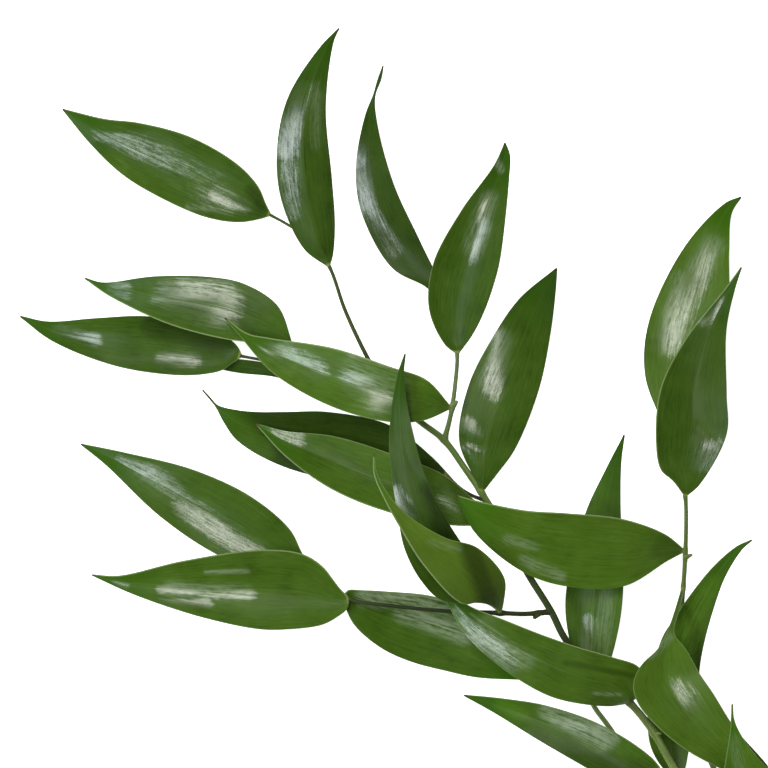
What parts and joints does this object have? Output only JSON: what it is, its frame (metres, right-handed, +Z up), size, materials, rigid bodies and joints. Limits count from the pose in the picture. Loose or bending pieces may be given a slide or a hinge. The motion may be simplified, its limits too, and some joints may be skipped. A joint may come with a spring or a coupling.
{
  "type": "ruscus bunch",
  "caption": "Lying bunch of Italian ruscus: thin green cut stems with side twigs and glossy, pointed, gently curved leaves.",
  "frame": {"origin": "on the table, under the middle of the bunch's box", "axes": "+Z up from the table, +Y towards the leafy tips and the top of the picture, +X to the picture's right"},
  "size_m": [0.3098, 0.3421, 0.0589],
  "materials": {
    "leaf": "fresh dark green leaf, waxy and glossy, with fine lengthwise veins",
    "stem": "smooth green stem, satin"
  },
  "bodies": {
    "root": {"stem_main": "stem", "stem_second": "stem", "stem_third": "stem", "leaf_01": "leaf", "leaf_02": "leaf", "leaf_03": "leaf", "leaf_04": "leaf", "leaf_05": "leaf", "leaf_06": "leaf", "leaf_07": "leaf", "leaf_08": "leaf", "leaf_09": "leaf", "leaf_10": "leaf", "leaf_11": "leaf", "leaf_12": "leaf", "leaf_13": "leaf", "leaf_14": "leaf", "leaf_15": "leaf", "leaf_16": "leaf", "leaf_17": "leaf", "leaf_18": "leaf", "leaf_19": "leaf", "leaf_20": "leaf", "leaf_21": "leaf", "leaf_22": "leaf", "leaf_23": "leaf", "leaf_24": "leaf", "leaf_25": "leaf", "leaf_26": "leaf", "leaf_27": "leaf", "leaf_28": "leaf", "leaf_29": "leaf", "leaf_30": "leaf"}
  },
  "joints": []
}
